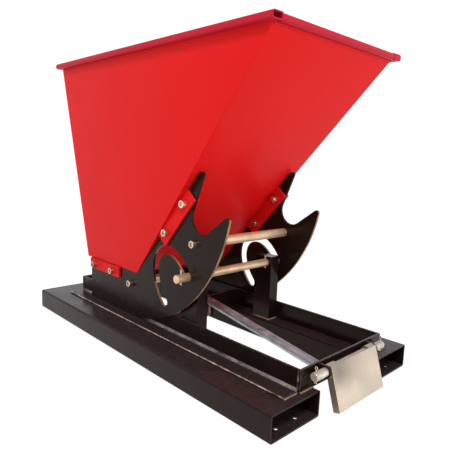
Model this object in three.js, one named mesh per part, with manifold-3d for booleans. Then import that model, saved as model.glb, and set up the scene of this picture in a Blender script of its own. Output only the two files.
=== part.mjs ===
// Self-tipping forklift hopper. A sheet-steel hopper stands on two curved rocker plates, which roll forward
// along the rails of a base with two fork pockets. A shaft fixed in two posts runs in a slot of each rocker
// plate and guides the roll. A paddle at the front pushes a rod, which draws a latch lever clear of a tie bar.
//
// Millimetres, +Z up. X points forward, the way the hopper tips, and Y to the left. While the parts are drawn,
// x = 0 is the rear end of the fork pockets. The whole group is then moved so that the origin is at the middle
// of the outline on the floor.

import * as THREE from 'three';
import { mergeVertices } from 'three/addons/utils/BufferGeometryUtils.js';
import Module from 'manifold-3d';

const wasm = await Module();
wasm.setup();

// ---------- driving dimensions ----------

const GAP = 0.3; // between pieces that touch
const SIDES = { right: -1, left: 1 };

// fork pockets
const BASE_LENGTH = 1320;
const BASE_WIDTH = 690;
const POCKET_WIDTH = 200;
const POCKET_HEIGHT = 76;
const POCKET_WALL = 5;
const POCKET_CORNER = 7;
const FLOOR_HOLE_RADIUS = 6.5;
const FLOOR_HOLE_INSET = 33; // from the front end
const FLOOR_HOLE_SPACING = 78;

// angle bars of the frame
const ANGLE_LEG = 65;
const ANGLE_THICK = 6;
const RAIL_OUTER_Y = 207; // outer face of a rail's upright leg
const REAR_BAR_X = 108; // rear face of the rear crossbar
const MIDDLE_BAR_X = 660; // front face of the middle crossbar
const FRONT_BAR_X = 1297; // front face of the front crossbar

// posts and pivot shaft
const POST_SIZE = 45; // across
const POST_X = { rear: 792, front: 872 };
const POST_WALL = 4;
const POST_TOP = 318;
const SHAFT_X = 847;
const SHAFT_Z = 295;
const SHAFT_RADIUS = 14;
const SHAFT_HALF = 271;

// rocker plates
const ROCKER_X = 519; // centre of the rocker circle, above where the plate touches the rail at rest
const ROCKER_Z = 602;
const PLATE_INNER_Y = 214;
const PLATE_THICK = 8;
const PLATE_REAR_X = 217;
const SLOT_WIDTH = 33;
const TIP_ANGLE = THREE.MathUtils.degToRad(75);

// hopper walls, by the outer faces
const FLOOR_Z = 248;
const WALL_TOP_Z = 1001;
const SHEET = 4;
const REAR_X = { bottom: 188, top: 104 };
const FRONT_X = { bottom: 554, top: 1213 };
const HALF_WIDTH = { bottom: 222, top: 286 };

// rim of 40 x 20 tube
const RIM_WIDTH = 40;
const RIM_HEIGHT = 20;
const RIM_WALL = 3;
const RIM_CORNER = 8;
const RIM_OUTER_Y = 312;
const RIM_REAR_X = 100;
const RIM_FRONT_X = 1234;

// tabs, tie bars and bolts
const TAB_LENGTH = 220;
const TAB_THICK = 8;
const FRONT_TAB_DEPTH = 49;
const FRONT_TAB_START = 217; // up the front wall, from its lower edge
const REAR_TAB_DEPTH = 40;
const REAR_TAB_X = 222;
const TAB_BOLT_SPACING = 138;
const TIE_RADIUS = 16;
const UPPER_TIE = [877, 408];
const LOWER_TIE = [520, 203];
const BOLT_RADIUS = 8; // M16 socket-head screws
const BOLT_HEAD_RADIUS = 12;
const BOLT_HEAD_HEIGHT = 16;
const SOCKET_ACROSS = 14;
const SOCKET_DEPTH = 8;
const NUT_ACROSS = 24;
const NUT_HEIGHT = 13;
const TIE_BOLT_DEPTH = 30;

// paddle, on its own shaft in front of the front crossbar
const PADDLE_X = 1318;
const PADDLE_Z = 120;
const PADDLE_LEAN = THREE.MathUtils.degToRad(17);
const PADDLE_HALF = 117;
const PADDLE_SHEET = 5;
const PADDLE_FACE = 17.5; // from the shaft's axis to the front face
const PADDLE_DROP = 112; // from the shaft's axis down the face
const PADDLE_RISE = 12; // from the shaft's axis up the face
const PADDLE_DEPTH = 21;
const KNUCKLE_LENGTH = 35;
const PADDLE_SHAFT_RADIUS = 12.5;
const PADDLE_SHAFT_HALF = 176;
const LUG_INNER_Y = 119;
const LUG_THICK = 6;
const LUG_RADIUS = 17;

// release rod and latch
const ROD_RADIUS = 15;
const ROD_REAR = [702, 142]; // pin in the latch lever
const ROD_FRONT = [1305, 47]; // pin in the paddle
const ROD_PIN_RADIUS = 6;
const LATCH_X = 694;
const LATCH_Z = 90;
const ROD_FRONT_PLAY = 1.3; // the rod runs straight, while its ends swing with the paddle and the lever
const LEVER_PLAY = 2.2;
const LATCH_THICK = 12;
const LATCH_PIN_RADIUS = 7;
const LATCH_DRAWN = THREE.MathUtils.degToRad(14.1); // from locked to the drawn position shown at rest
const LATCH_CLEAR = 1.5; // between the locked lever and the tie bar
const CHEEK_INNER_Y = 16;
const CHEEK_THICK = 6;

// ---------- materials ----------

const finish = (color, roughness, metalness) => new THREE.MeshStandardMaterial({ color, roughness, metalness });
const redPaint = finish(0xc8161d, 0.35, 0.0);
const blackPaint = finish(0x1d1715, 0.4, 0.0);
const zinc = finish(0xb9b3a6, 0.45, 0.8);

// ---------- geometry helpers ----------

const object = new THREE.Group();

function add(name, geometry, material) {
  const mesh = new THREE.Mesh(geometry, material);
  mesh.name = name;
  object.add(mesh);
  return mesh;
}

function toSolid(geometry) {
  const bare = geometry.clone();
  bare.deleteAttribute('normal');
  bare.deleteAttribute('uv');
  const merged = mergeVertices(bare, 1e-4);
  return new wasm.Manifold(new wasm.Mesh({
    numProp: 3,
    vertProperties: new Float32Array(merged.attributes.position.array),
    triVerts: new Uint32Array(merged.index.array),
  }));
}

function toGeometry(solid) {
  const mesh = solid.getMesh();
  const geometry = new THREE.BufferGeometry();
  geometry.setAttribute('position', new THREE.BufferAttribute(new Float32Array(mesh.vertProperties), 3));
  geometry.setIndex(new THREE.BufferAttribute(new Uint32Array(mesh.triVerts), 1));
  return geometry;
}

const join = (first, ...others) => toGeometry(others.reduce((sum, g) => sum.add(toSolid(g)), toSolid(first)));

const cut = (first, ...tools) => toGeometry(tools.reduce((rest, g) => rest.subtract(toSolid(g)), toSolid(first)));

function block(x0, x1, y0, y1, z0, z1) {
  const box = new THREE.BoxGeometry(x1 - x0, Math.abs(y1 - y0), z1 - z0);
  return box.translate((x0 + x1) / 2, (y0 + y1) / 2, (z0 + z1) / 2);
}

function polygon(points) {
  return new THREE.Shape(points.map(([x, z]) => new THREE.Vector2(x, z)));
}

// a shape drawn in x and z, made solid between two values of y
function across(shape, yA, yB, curveSegments = 12) {
  const depth = Math.abs(yB - yA);
  const plate = new THREE.ExtrudeGeometry(shape, { depth, bevelEnabled: false, curveSegments });
  return plate.rotateX(Math.PI / 2).translate(0, Math.max(yA, yB), 0);
}

// a section drawn in y and z, made solid between two values of x
function along(shape, x0, x1, curveSegments = 4) {
  const bar = new THREE.ExtrudeGeometry(shape, { depth: x1 - x0, bevelEnabled: false, curveSegments });
  const turn = new THREE.Matrix4().makeBasis(
    new THREE.Vector3(0, 1, 0), new THREE.Vector3(0, 0, 1), new THREE.Vector3(1, 0, 0));
  return bar.applyMatrix4(turn).translate(x0, 0, 0);
}

function roundedRectangle(path, x0, y0, x1, y1, r) {
  path.moveTo(x0 + r, y0);
  path.lineTo(x1 - r, y0).absarc(x1 - r, y0 + r, r, -Math.PI / 2, 0);
  path.lineTo(x1, y1 - r).absarc(x1 - r, y1 - r, r, 0, Math.PI / 2);
  path.lineTo(x0 + r, y1).absarc(x0 + r, y1 - r, r, Math.PI / 2, Math.PI);
  path.lineTo(x0, y0 + r).absarc(x0 + r, y0 + r, r, Math.PI, Math.PI * 1.5);
  return path;
}

// section of a rectangular tube
function tubeSection(x0, y0, x1, y1, wall, r) {
  const shape = roundedRectangle(new THREE.Shape(), x0, y0, x1, y1, r);
  const inner = Math.max(r - wall, 1);
  shape.holes.push(roundedRectangle(new THREE.Path(), x0 + wall, y0 + wall, x1 - wall, y1 - wall, inner));
  return shape;
}

function pinAlongY(x, z, radius, yA, yB, segments = 20) {
  const pin = new THREE.CylinderGeometry(radius, radius, Math.abs(yB - yA), segments);
  return pin.translate(x, (yA + yB) / 2, z);
}

// a bar's axis, with the hexagon's across-flats width turned into the radius that CylinderGeometry wants
function hexagonAlongY(x, z, acrossFlats, yA, yB) {
  return pinAlongY(x, z, acrossFlats / Math.sqrt(3), yA, yB, 6);
}

function circularHole(x, z, radius) {
  const hole = new THREE.Path();
  hole.absarc(x, z, radius, 0, Math.PI * 2);
  return hole;
}

const between = (ends, z) => ends.bottom + (ends.top - ends.bottom) * (z - FLOOR_Z) / (WALL_TOP_Z - FLOOR_Z);

// a flat sheet with level ends: at each z it spans xOf(z)[0] to xOf(z)[1], and yOf(z)[0] to yOf(z)[1]
function slopingSheet(z0, z1, xOf, yOf) {
  const sheet = new THREE.BoxGeometry(1, 1, 1);
  const corner = sheet.attributes.position;
  for (let i = 0; i < corner.count; i++) {
    const z = corner.getZ(i) > 0 ? z1 : z0;
    corner.setXYZ(i, xOf(z)[corner.getX(i) > 0 ? 1 : 0], yOf(z)[corner.getY(i) > 0 ? 1 : 0], z);
  }
  return sheet;
}

// ---------- base: fork pockets, rails, crossbars ----------

const RAIL_FOOT_Z = POCKET_HEIGHT + GAP;
const RAIL_TOP_Z = POCKET_HEIGHT + ANGLE_LEG;
const RAIL_INNER_Y = RAIL_OUTER_Y - ANGLE_THICK;

for (const [side, sign] of Object.entries(SIDES)) {
  const inner = BASE_WIDTH / 2 - POCKET_WIDTH;
  const [y0, y1] = sign > 0 ? [inner, BASE_WIDTH / 2] : [-BASE_WIDTH / 2, -inner];
  const tube = along(tubeSection(y0, 0, y1, POCKET_HEIGHT, POCKET_WALL, POCKET_CORNER), 0, BASE_LENGTH);
  const holes = [-1, 1].map((end) => {
    const drill = new THREE.CylinderGeometry(FLOOR_HOLE_RADIUS, FLOOR_HOLE_RADIUS, 4 * POCKET_WALL, 16);
    const y = (y0 + y1) / 2 + end * FLOOR_HOLE_SPACING / 2;
    return drill.rotateX(Math.PI / 2).translate(BASE_LENGTH - FLOOR_HOLE_INSET, y, 0);
  });
  add(`fork_pocket_${side}`, cut(tube, ...holes), blackPaint);

  const rail = polygon([
    [sign * RAIL_INNER_Y, RAIL_FOOT_Z], [sign * (RAIL_INNER_Y + ANGLE_LEG), RAIL_FOOT_Z],
    [sign * (RAIL_INNER_Y + ANGLE_LEG), RAIL_FOOT_Z + ANGLE_THICK],
    [sign * RAIL_OUTER_Y, RAIL_FOOT_Z + ANGLE_THICK],
    [sign * RAIL_OUTER_Y, RAIL_TOP_Z], [sign * RAIL_INNER_Y, RAIL_TOP_Z],
  ]);
  const railEnds = [REAR_BAR_X + ANGLE_THICK + GAP, FRONT_BAR_X - ANGLE_THICK - GAP];
  add(`rail_${side}`, along(rail, ...railEnds), blackPaint);
}

// an angle bar across the frame; its upright leg reaches upright to upright + direction * ANGLE_THICK, and its
// flat leg goes the same way along the pockets. wide: the upright leg also covers the ends of the rails.
function crossbar(upright, direction, wide) {
  const bar = polygon([
    [upright, RAIL_FOOT_Z], [upright + direction * ANGLE_LEG, RAIL_FOOT_Z],
    [upright + direction * ANGLE_LEG, RAIL_FOOT_Z + ANGLE_THICK],
    [upright + direction * ANGLE_THICK, RAIL_FOOT_Z + ANGLE_THICK],
    [upright + direction * ANGLE_THICK, RAIL_TOP_Z], [upright, RAIL_TOP_Z],
  ]);
  const half = RAIL_INNER_Y - GAP;
  const angle = across(bar, -half, half);
  if (!wide) return angle;
  const x = [upright, upright + direction * ANGLE_THICK].sort((a, b) => a - b);
  return join(angle, block(...x, -RAIL_OUTER_Y, RAIL_OUTER_Y, RAIL_FOOT_Z, RAIL_TOP_Z));
}

add('crossbar_front', crossbar(FRONT_BAR_X, -1, true), blackPaint);
add('crossbar_middle', crossbar(MIDDLE_BAR_X, -1, false), blackPaint);
add('crossbar_rear', crossbar(REAR_BAR_X, 1, true), blackPaint);

// ---------- split pins: a shank through a shaft, with an eye at its upper end ----------

const SPLIT_PIN_RADIUS = 2.5;
const SPLIT_PIN_SPARE = 11; // length past each side of the shaft
const SPLIT_PIN_EYE = 5;

const splitPinHole = (x, y, z) => {
  const drill = new THREE.CylinderGeometry(SPLIT_PIN_RADIUS + GAP, SPLIT_PIN_RADIUS + GAP, 60, 12);
  return drill.rotateX(Math.PI / 2).translate(x, y, z);
};

function splitPin(x, y, z, shaftRadius) {
  const length = 2 * (shaftRadius + SPLIT_PIN_SPARE);
  const shank = new THREE.CylinderGeometry(SPLIT_PIN_RADIUS, SPLIT_PIN_RADIUS, length, 12);
  const eye = new THREE.TorusGeometry(SPLIT_PIN_EYE, 2, 6, 14).rotateX(Math.PI / 2);
  eye.translate(0, 0, length / 2 + SPLIT_PIN_EYE - 1);
  return join(shank.rotateX(Math.PI / 2), eye).translate(x, y, z);
}

// ---------- posts and pivot shaft ----------

const POST_OUTER_Y = RAIL_INNER_Y - GAP;
const SHAFT_PIN_Y = { plate: 250, post: POST_OUTER_Y - POST_SIZE - 5 };

for (const [side, sign] of Object.entries(SIDES)) {
  const y = [sign * (POST_OUTER_Y - POST_SIZE), sign * POST_OUTER_Y].sort((a, b) => a - b);
  const x = [POST_X.rear, POST_X.front];
  const outside = block(...x, ...y, RAIL_FOOT_Z, POST_TOP);
  const inside = block(x[0] + POST_WALL, x[1] - POST_WALL, y[0] + POST_WALL, y[1] - POST_WALL,
    RAIL_FOOT_Z - 1, POST_TOP - POST_WALL);
  const bore = pinAlongY(SHAFT_X, SHAFT_Z, SHAFT_RADIUS + GAP, y[0] - 1, y[1] + 1);
  add(`post_${side}`, cut(outside, inside, bore), blackPaint);
}

const shaftPinPlaces = Object.entries(SIDES).flatMap(([side, sign]) =>
  Object.entries(SHAFT_PIN_Y).map(([where, y]) => [`split_pin_${where}_${side}`, sign * y]));

add('pivot_shaft', cut(
  pinAlongY(SHAFT_X, SHAFT_Z, SHAFT_RADIUS, -SHAFT_HALF, SHAFT_HALF, 28),
  ...shaftPinPlaces.map(([, y]) => splitPinHole(SHAFT_X, y, SHAFT_Z))), zinc);
for (const [name, y] of shaftPinPlaces) add(name, splitPin(SHAFT_X, y, SHAFT_Z, SHAFT_RADIUS), zinc);

// ---------- hopper walls ----------

const INNER_SLOPE_X = {
  rear: SHEET * Math.hypot(1, (REAR_X.top - REAR_X.bottom) / (WALL_TOP_Z - FLOOR_Z)),
  front: SHEET * Math.hypot(1, (FRONT_X.top - FRONT_X.bottom) / (WALL_TOP_Z - FLOOR_Z)),
};
const wallEnds = [FLOOR_Z, WALL_TOP_Z - GAP];
const insideWidth = (z) => [-between(HALF_WIDTH, z) + SHEET + GAP, between(HALF_WIDTH, z) - SHEET - GAP];
const rearSpan = (z) => [between(REAR_X, z), between(REAR_X, z) + INNER_SLOPE_X.rear];
const frontSpan = (z) => [between(FRONT_X, z) - INNER_SLOPE_X.front, between(FRONT_X, z)];

for (const [side, sign] of Object.entries(SIDES)) {
  const fullSpan = (z) => [between(REAR_X, z), between(FRONT_X, z)];
  const skin = (z) => {
    const outer = sign * between(HALF_WIDTH, z);
    return [outer, outer - sign * SHEET].sort((a, b) => a - b);
  };
  add(`side_panel_${side}`, slopingSheet(...wallEnds, fullSpan, skin), redPaint);
}
add('rear_panel', slopingSheet(...wallEnds, rearSpan, insideWidth), redPaint);
add('front_panel', slopingSheet(...wallEnds, frontSpan, insideWidth), redPaint);
const floorSpan = (z) => [rearSpan(z)[1] + GAP, frontSpan(z)[0] - GAP];
add('floor_panel', slopingSheet(FLOOR_Z, FLOOR_Z + SHEET, floorSpan, insideWidth), redPaint);

// ---------- rim: side tubes run the full length with open ends, front and rear tubes between them ----------

const RIM_TOP_Z = WALL_TOP_Z + RIM_HEIGHT;
const RIM_INNER_Y = RIM_OUTER_Y - RIM_WIDTH;

for (const [side, sign] of Object.entries(SIDES)) {
  const y = [sign * RIM_OUTER_Y, sign * RIM_INNER_Y].sort((a, b) => a - b);
  const section = tubeSection(y[0], WALL_TOP_Z, y[1], RIM_TOP_Z, RIM_WALL, RIM_CORNER);
  add(`rim_${side}`, along(section, RIM_REAR_X, RIM_FRONT_X), redPaint);
}
for (const [end, x] of Object.entries({ rear: RIM_REAR_X, front: RIM_FRONT_X - RIM_WIDTH })) {
  const section = tubeSection(x, WALL_TOP_Z, x + RIM_WIDTH, RIM_TOP_Z, RIM_WALL, RIM_CORNER);
  add(`rim_${end}`, across(section, GAP - RIM_INNER_Y, RIM_INNER_Y - GAP, 4), redPaint);
}

// ---------- tabs: flat bars on both sides of each rocker plate ----------

const frontSlope = new THREE.Vector2(FRONT_X.top - FRONT_X.bottom, WALL_TOP_Z - FLOOR_Z).normalize();

// a place under the front wall: up its slope from its lower edge, and out from it at right angles
function underFront(up, out) {
  return [
    FRONT_X.bottom + frontSlope.x * up + frontSlope.y * out,
    FLOOR_Z + frontSlope.y * up - frontSlope.x * out,
  ];
}

const WALL_CLEAR = 0.4;
const frontTabEnd = FRONT_TAB_START + TAB_LENGTH;
const tabOutlines = {
  front: [
    underFront(FRONT_TAB_START, WALL_CLEAR), underFront(FRONT_TAB_START, FRONT_TAB_DEPTH),
    underFront(frontTabEnd, FRONT_TAB_DEPTH), underFront(frontTabEnd, WALL_CLEAR),
  ],
  rear: [
    [REAR_TAB_X, FLOOR_Z - REAR_TAB_DEPTH], [REAR_TAB_X + TAB_LENGTH, FLOOR_Z - REAR_TAB_DEPTH],
    [REAR_TAB_X + TAB_LENGTH, FLOOR_Z - GAP], [REAR_TAB_X, FLOOR_Z - GAP],
  ],
};
const tabBolts = Object.fromEntries([-1, 1].flatMap((end) => {
  const offset = TAB_LENGTH / 2 + end * TAB_BOLT_SPACING / 2;
  const where = end < 0 ? 'low' : 'high';
  return [
    [`front_${where}`, underFront(FRONT_TAB_START + offset, FRONT_TAB_DEPTH / 2)],
    [`rear_${where}`, [REAR_TAB_X + offset, FLOOR_Z - REAR_TAB_DEPTH / 2]],
  ];
}));
const BOLT_CLEAR = BOLT_RADIUS + GAP;
const PLATE_OUTER_Y = PLATE_INNER_Y + PLATE_THICK;
const tabPlaces = {
  outer: [PLATE_OUTER_Y + GAP, PLATE_OUTER_Y + GAP + TAB_THICK],
  inner: [PLATE_INNER_Y - GAP - TAB_THICK, PLATE_INNER_Y - GAP],
};

for (const [side, sign] of Object.entries(SIDES)) {
  for (const [place, [yA, yB]] of Object.entries(tabPlaces)) {
    for (const [end, outline] of Object.entries(tabOutlines)) {
      const shape = polygon(outline);
      for (const [name, [x, z]] of Object.entries(tabBolts)) {
        if (name.startsWith(end)) shape.holes.push(circularHole(x, z, BOLT_CLEAR));
      }
      add(`tab_${end}_${place}_${side}`, across(shape, sign * yA, sign * yB, 8), redPaint);
    }
  }
}

// ---------- rocker plates ----------

// The pivot shaft stays where it is while the plate rolls on the rail, so in the plate it follows a trochoid.
// A plate turned by the angle has rolled ahead by radius times angle.
const ROLL_Z = RAIL_FOOT_Z + ANGLE_THICK;
const ROLL_RADIUS = ROCKER_Z - ROLL_Z;
const ROCKER_RADIUS = ROLL_RADIUS - GAP;

function shaftInPlate(angle) {
  const ahead = SHAFT_X - ROCKER_X - ROLL_RADIUS * angle;
  return new THREE.Vector2(ahead, SHAFT_Z - ROCKER_Z).rotateAround(new THREE.Vector2(), angle);
}

function slotPath() {
  const steps = 24;
  const capSteps = 6;
  const centre = new THREE.Vector2(ROCKER_X, ROCKER_Z);
  const heading = (angle) => shaftInPlate(angle + 1e-3).sub(shaftInPlate(angle - 1e-3)).angle();
  const edge = (angle, turn) => {
    const out = new THREE.Vector2(SLOT_WIDTH / 2, 0).rotateAround(new THREE.Vector2(), heading(angle) + turn);
    return shaftInPlate(angle).add(out).add(centre);
  };
  const stations = Array.from({ length: steps + 1 }, (_, i) => TIP_ANGLE * i / steps);
  const caps = Array.from({ length: capSteps - 1 }, (_, i) => Math.PI * (i + 1) / capSteps);
  return new THREE.Path([
    ...stations.map((angle) => edge(angle, -Math.PI / 2)),
    ...caps.map((turn) => edge(TIP_ANGLE, turn - Math.PI / 2)),
    ...stations.toReversed().map((angle) => edge(angle, Math.PI / 2)),
    ...caps.map((turn) => edge(0, turn + Math.PI / 2)),
  ]);
}

const HORN_TIP = { x: 1017, z: 496, radius: 10 };
const NOTCH = { x: 909, z: 492, radius: 50 };
const UPPER_HORN = { top: 634, width: 26 };

function rockerOutline() {
  const shape = new THREE.Shape();
  shape.moveTo(PLATE_REAR_X, ROLL_Z + GAP);
  shape.lineTo(ROCKER_X, ROLL_Z + GAP);
  const tipFromCentre = Math.atan2(HORN_TIP.z - ROCKER_Z, HORN_TIP.x - ROCKER_X);
  shape.absarc(ROCKER_X, ROCKER_Z, ROCKER_RADIUS, -Math.PI / 2, tipFromCentre - 0.01);
  const tipEnd = THREE.MathUtils.degToRad(125);
  shape.absarc(HORN_TIP.x, HORN_TIP.z, HORN_TIP.radius, tipFromCentre, tipEnd);
  const notchStart = THREE.MathUtils.degToRad(-51);
  const notchEnd = THREE.MathUtils.degToRad(-203);
  shape.absarc(NOTCH.x, NOTCH.z, NOTCH.radius, notchStart, notchEnd, true);
  const wallX = (z) => between(FRONT_X, z) + 2 * GAP;
  const { top, width } = UPPER_HORN;
  shape.lineTo(wallX(top - 8) + width, top - 8);
  shape.lineTo(wallX(top) + width / 2, top);
  shape.lineTo(wallX(top - 4) + 3, top - 4);
  shape.lineTo(wallX(top - 12), top - 12);
  shape.lineTo(wallX(FLOOR_Z), FLOOR_Z - GAP);
  shape.lineTo(PLATE_REAR_X, FLOOR_Z - GAP);
  shape.closePath();
  return shape;
}

for (const [side, sign] of Object.entries(SIDES)) {
  const shape = rockerOutline();
  shape.holes.push(slotPath());
  for (const [x, z] of [...Object.values(tabBolts), UPPER_TIE, LOWER_TIE]) {
    shape.holes.push(circularHole(x, z, BOLT_CLEAR));
  }
  add(`rocker_plate_${side}`, across(shape, sign * PLATE_INNER_Y, sign * PLATE_OUTER_Y, 20), blackPaint);
}

// ---------- tie bars between the rocker plates, and the brace inside the hopper ----------

const TIE_HALF = PLATE_INNER_Y - GAP;
const tieBars = { upper: UPPER_TIE, lower: LOWER_TIE };

for (const [name, [x, z]] of Object.entries(tieBars)) {
  const bar = pinAlongY(x, z, TIE_RADIUS, -TIE_HALF, TIE_HALF, 24);
  const tapped = Object.values(SIDES).map((sign) =>
    pinAlongY(x, z, BOLT_CLEAR, sign * (TIE_HALF - TIE_BOLT_DEPTH - GAP), sign * (TIE_HALF + 1), 16));
  add(`tie_bar_${name}`, cut(bar, ...tapped), zinc);
}

const BRACE_RADIUS = 17;
const BRACE_HALF = between(HALF_WIDTH, ROCKER_Z - BRACE_RADIUS) - SHEET - 1;
add('hopper_brace', pinAlongY(ROCKER_X, ROCKER_Z, BRACE_RADIUS, -BRACE_HALF, BRACE_HALF, 24), redPaint);

// ---------- screws ----------

function socketScrew(x, z, seat, sign, shankEnd) {
  const top = seat + sign * BOLT_HEAD_HEIGHT;
  const head = pinAlongY(x, z, BOLT_HEAD_RADIUS, seat, top, 24);
  const socket = hexagonAlongY(x, z, SOCKET_ACROSS, top - sign * SOCKET_DEPTH, top + sign);
  return join(cut(head, socket), pinAlongY(x, z, BOLT_RADIUS, seat + sign, shankEnd, 16));
}

for (const [side, sign] of Object.entries(SIDES)) {
  for (const [name, [x, z]] of Object.entries(tieBars)) {
    const seat = sign * (PLATE_OUTER_Y + GAP);
    const screw = socketScrew(x, z, seat, sign, sign * (TIE_HALF - TIE_BOLT_DEPTH));
    add(`tie_bolt_${name}_${side}`, screw, zinc);
  }
  for (const [name, [x, z]] of Object.entries(tabBolts)) {
    const seat = sign * (tabPlaces.outer[1] + GAP);
    const nutSeat = sign * (tabPlaces.inner[0] - GAP);
    const screw = socketScrew(x, z, seat, sign, nutSeat - sign * (NUT_HEIGHT + 4));
    const nut = hexagonAlongY(x, z, NUT_ACROSS, nutSeat, nutSeat - sign * NUT_HEIGHT);
    add(`tab_bolt_${name}_${side}`, join(screw, nut), zinc);
  }
}

// ---------- paddle, its shaft and lugs ----------

// The paddle is drawn hanging straight down with its front face towards +X, and then leans forward.
const paddleFace = [PADDLE_FACE - PADDLE_SHEET, PADDLE_FACE];
const paddleBack = PADDLE_FACE - PADDLE_DEPTH;
const rodEye = new THREE.Vector2(ROD_FRONT[0] - PADDLE_X, ROD_FRONT[1] - PADDLE_Z)
  .rotateAround(new THREE.Vector2(), -PADDLE_LEAN);
const EYE_RADIUS = 12;
const EYE_HALF = 6;

const knuckles = Object.values(SIDES).map((sign) => cut(
  pinAlongY(0, 0, PADDLE_FACE, sign * (PADDLE_HALF - KNUCKLE_LENGTH), sign * PADDLE_HALF, 28),
  pinAlongY(0, 0, PADDLE_SHAFT_RADIUS + GAP, sign * (PADDLE_HALF - KNUCKLE_LENGTH - 1), sign * (PADDLE_HALF + 1), 20)));
const flanges = Object.values(SIDES).map((sign) => block(paddleBack, PADDLE_FACE - 1,
  sign * (PADDLE_HALF - PADDLE_SHEET), sign * PADDLE_HALF, -PADDLE_DROP, -PADDLE_FACE - 1));
const eyeArm = polygon([
  [paddleFace[0] + 1, rodEye.y + 26], [rodEye.x, rodEye.y + EYE_RADIUS],
  [rodEye.x, rodEye.y - EYE_RADIUS], [paddleFace[0] + 1, rodEye.y - 26],
]);
const paddle = add('paddle', join(
  block(...paddleFace, -PADDLE_HALF, PADDLE_HALF, -PADDLE_DROP, PADDLE_RISE),
  block(paddleBack, PADDLE_FACE - 1, -PADDLE_HALF, PADDLE_HALF, -PADDLE_DROP, PADDLE_SHEET - PADDLE_DROP),
  ...flanges,
  ...knuckles,
  across(eyeArm, -EYE_HALF, EYE_HALF),
  pinAlongY(rodEye.x, rodEye.y, EYE_RADIUS, -EYE_HALF, EYE_HALF),
  pinAlongY(rodEye.x, rodEye.y, ROD_PIN_RADIUS, -ROD_RADIUS - 4, ROD_RADIUS + 4, 16)), zinc);
paddle.position.set(PADDLE_X, 0, PADDLE_Z);
paddle.rotation.y = -PADDLE_LEAN;

const PADDLE_PIN_Y = 168;
add('paddle_shaft', cut(
  pinAlongY(PADDLE_X, PADDLE_Z, PADDLE_SHAFT_RADIUS, -PADDLE_SHAFT_HALF, PADDLE_SHAFT_HALF, 24),
  ...Object.values(SIDES).map((sign) => splitPinHole(PADDLE_X, sign * PADDLE_PIN_Y, PADDLE_Z))), zinc);

for (const [side, sign] of Object.entries(SIDES)) {
  add(`split_pin_paddle_${side}`, splitPin(PADDLE_X, sign * PADDLE_PIN_Y, PADDLE_Z, PADDLE_SHAFT_RADIUS), zinc);
  const lug = new THREE.Shape();
  lug.moveTo(FRONT_BAR_X + GAP, RAIL_FOOT_Z + 4);
  lug.lineTo(PADDLE_X, PADDLE_Z - LUG_RADIUS);
  lug.absarc(PADDLE_X, PADDLE_Z, LUG_RADIUS, -Math.PI / 2, Math.PI / 2);
  lug.lineTo(FRONT_BAR_X + GAP, PADDLE_Z + LUG_RADIUS);
  lug.holes.push(circularHole(PADDLE_X, PADDLE_Z, PADDLE_SHAFT_RADIUS + GAP));
  const y = [sign * LUG_INNER_Y, sign * (LUG_INNER_Y + LUG_THICK)];
  add(`paddle_lug_${side}`, across(lug, ...y, 12), blackPaint);
}

// ---------- release rod ----------

const rodAxis = new THREE.Vector2(ROD_FRONT[0] - ROD_REAR[0], ROD_FRONT[1] - ROD_REAR[1]);
const rodDirection = rodAxis.clone().normalize();
const ROD_PAST_PIN = 16;
const FORK_DEPTH = 40;
const rodLength = rodAxis.length() + 2 * ROD_PAST_PIN;
const rodStock = new THREE.CylinderGeometry(ROD_RADIUS, ROD_RADIUS, rodLength, 24).rotateZ(-Math.PI / 2);
const forkWidth = LATCH_THICK / 2 + 1;
const rodCuts = [-1, 1].flatMap((end) => {
  const tip = end * (rodLength / 2 + 1);
  const mouth = [tip, tip - end * (FORK_DEPTH + 1)].sort((a, b) => a - b);
  const pin = end * rodAxis.length() / 2;
  const play = end > 0 ? ROD_FRONT_PLAY : GAP;
  return [
    block(...mouth, -forkWidth, forkWidth, -ROD_RADIUS - 1, ROD_RADIUS + 1),
    pinAlongY(pin, 0, ROD_PIN_RADIUS + play, -ROD_RADIUS - 1, ROD_RADIUS + 1, 20),
  ];
});
const rod = add('release_rod', cut(rodStock, ...rodCuts), zinc);
rod.position.set((ROD_REAR[0] + ROD_FRONT[0]) / 2, 0, (ROD_REAR[1] + ROD_FRONT[1]) / 2);
rod.rotation.y = -rodDirection.angle();
add('rod_pin', pinAlongY(...ROD_REAR, ROD_PIN_RADIUS, -ROD_RADIUS - 4, ROD_RADIUS + 4, 16), zinc);

// ---------- latch lever, its bracket, pin and spring ----------

// The lever is a strut. It is drawn locked, with its end against the lower tie bar, and then turned to where
// the rod has drawn it down clear of the bar. The end is an arc about the lever's own pin, so that it slides
// past the bar. Places on the lever are measured from its pin.
const drawn = (x, z) => new THREE.Vector2(x, z).rotateAround(new THREE.Vector2(), -LATCH_DRAWN);
const leverEye = drawn(ROD_REAR[0] - LATCH_X, ROD_REAR[1] - LATCH_Z);
const toBar = new THREE.Vector2(LOWER_TIE[0] - LATCH_X, LOWER_TIE[1] - LATCH_Z);
const leverReach = toBar.length() - TIE_RADIUS - LATCH_CLEAR;
const endAngles = [-4, 6].map((turn) => toBar.angle() + THREE.MathUtils.degToRad(turn));
const lever = new THREE.Shape();
lever.absarc(0, 0, 16, Math.PI, Math.PI * 2);
lever.absarc(leverEye.x, leverEye.y, 15, 0, Math.PI * 0.6);
lever.absarc(0, 0, leverReach, ...endAngles);
lever.lineTo(-18, 64);
lever.closePath();
lever.holes.push(circularHole(0, 0, LATCH_PIN_RADIUS + GAP));
lever.holes.push(circularHole(leverEye.x, leverEye.y, ROD_PIN_RADIUS + LEVER_PLAY));
const latchLever = add('latch_lever', across(lever, -LATCH_THICK / 2, LATCH_THICK / 2, 20), zinc);
latchLever.position.set(LATCH_X, 0, LATCH_Z);
latchLever.rotation.y = -LATCH_DRAWN;

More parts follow.
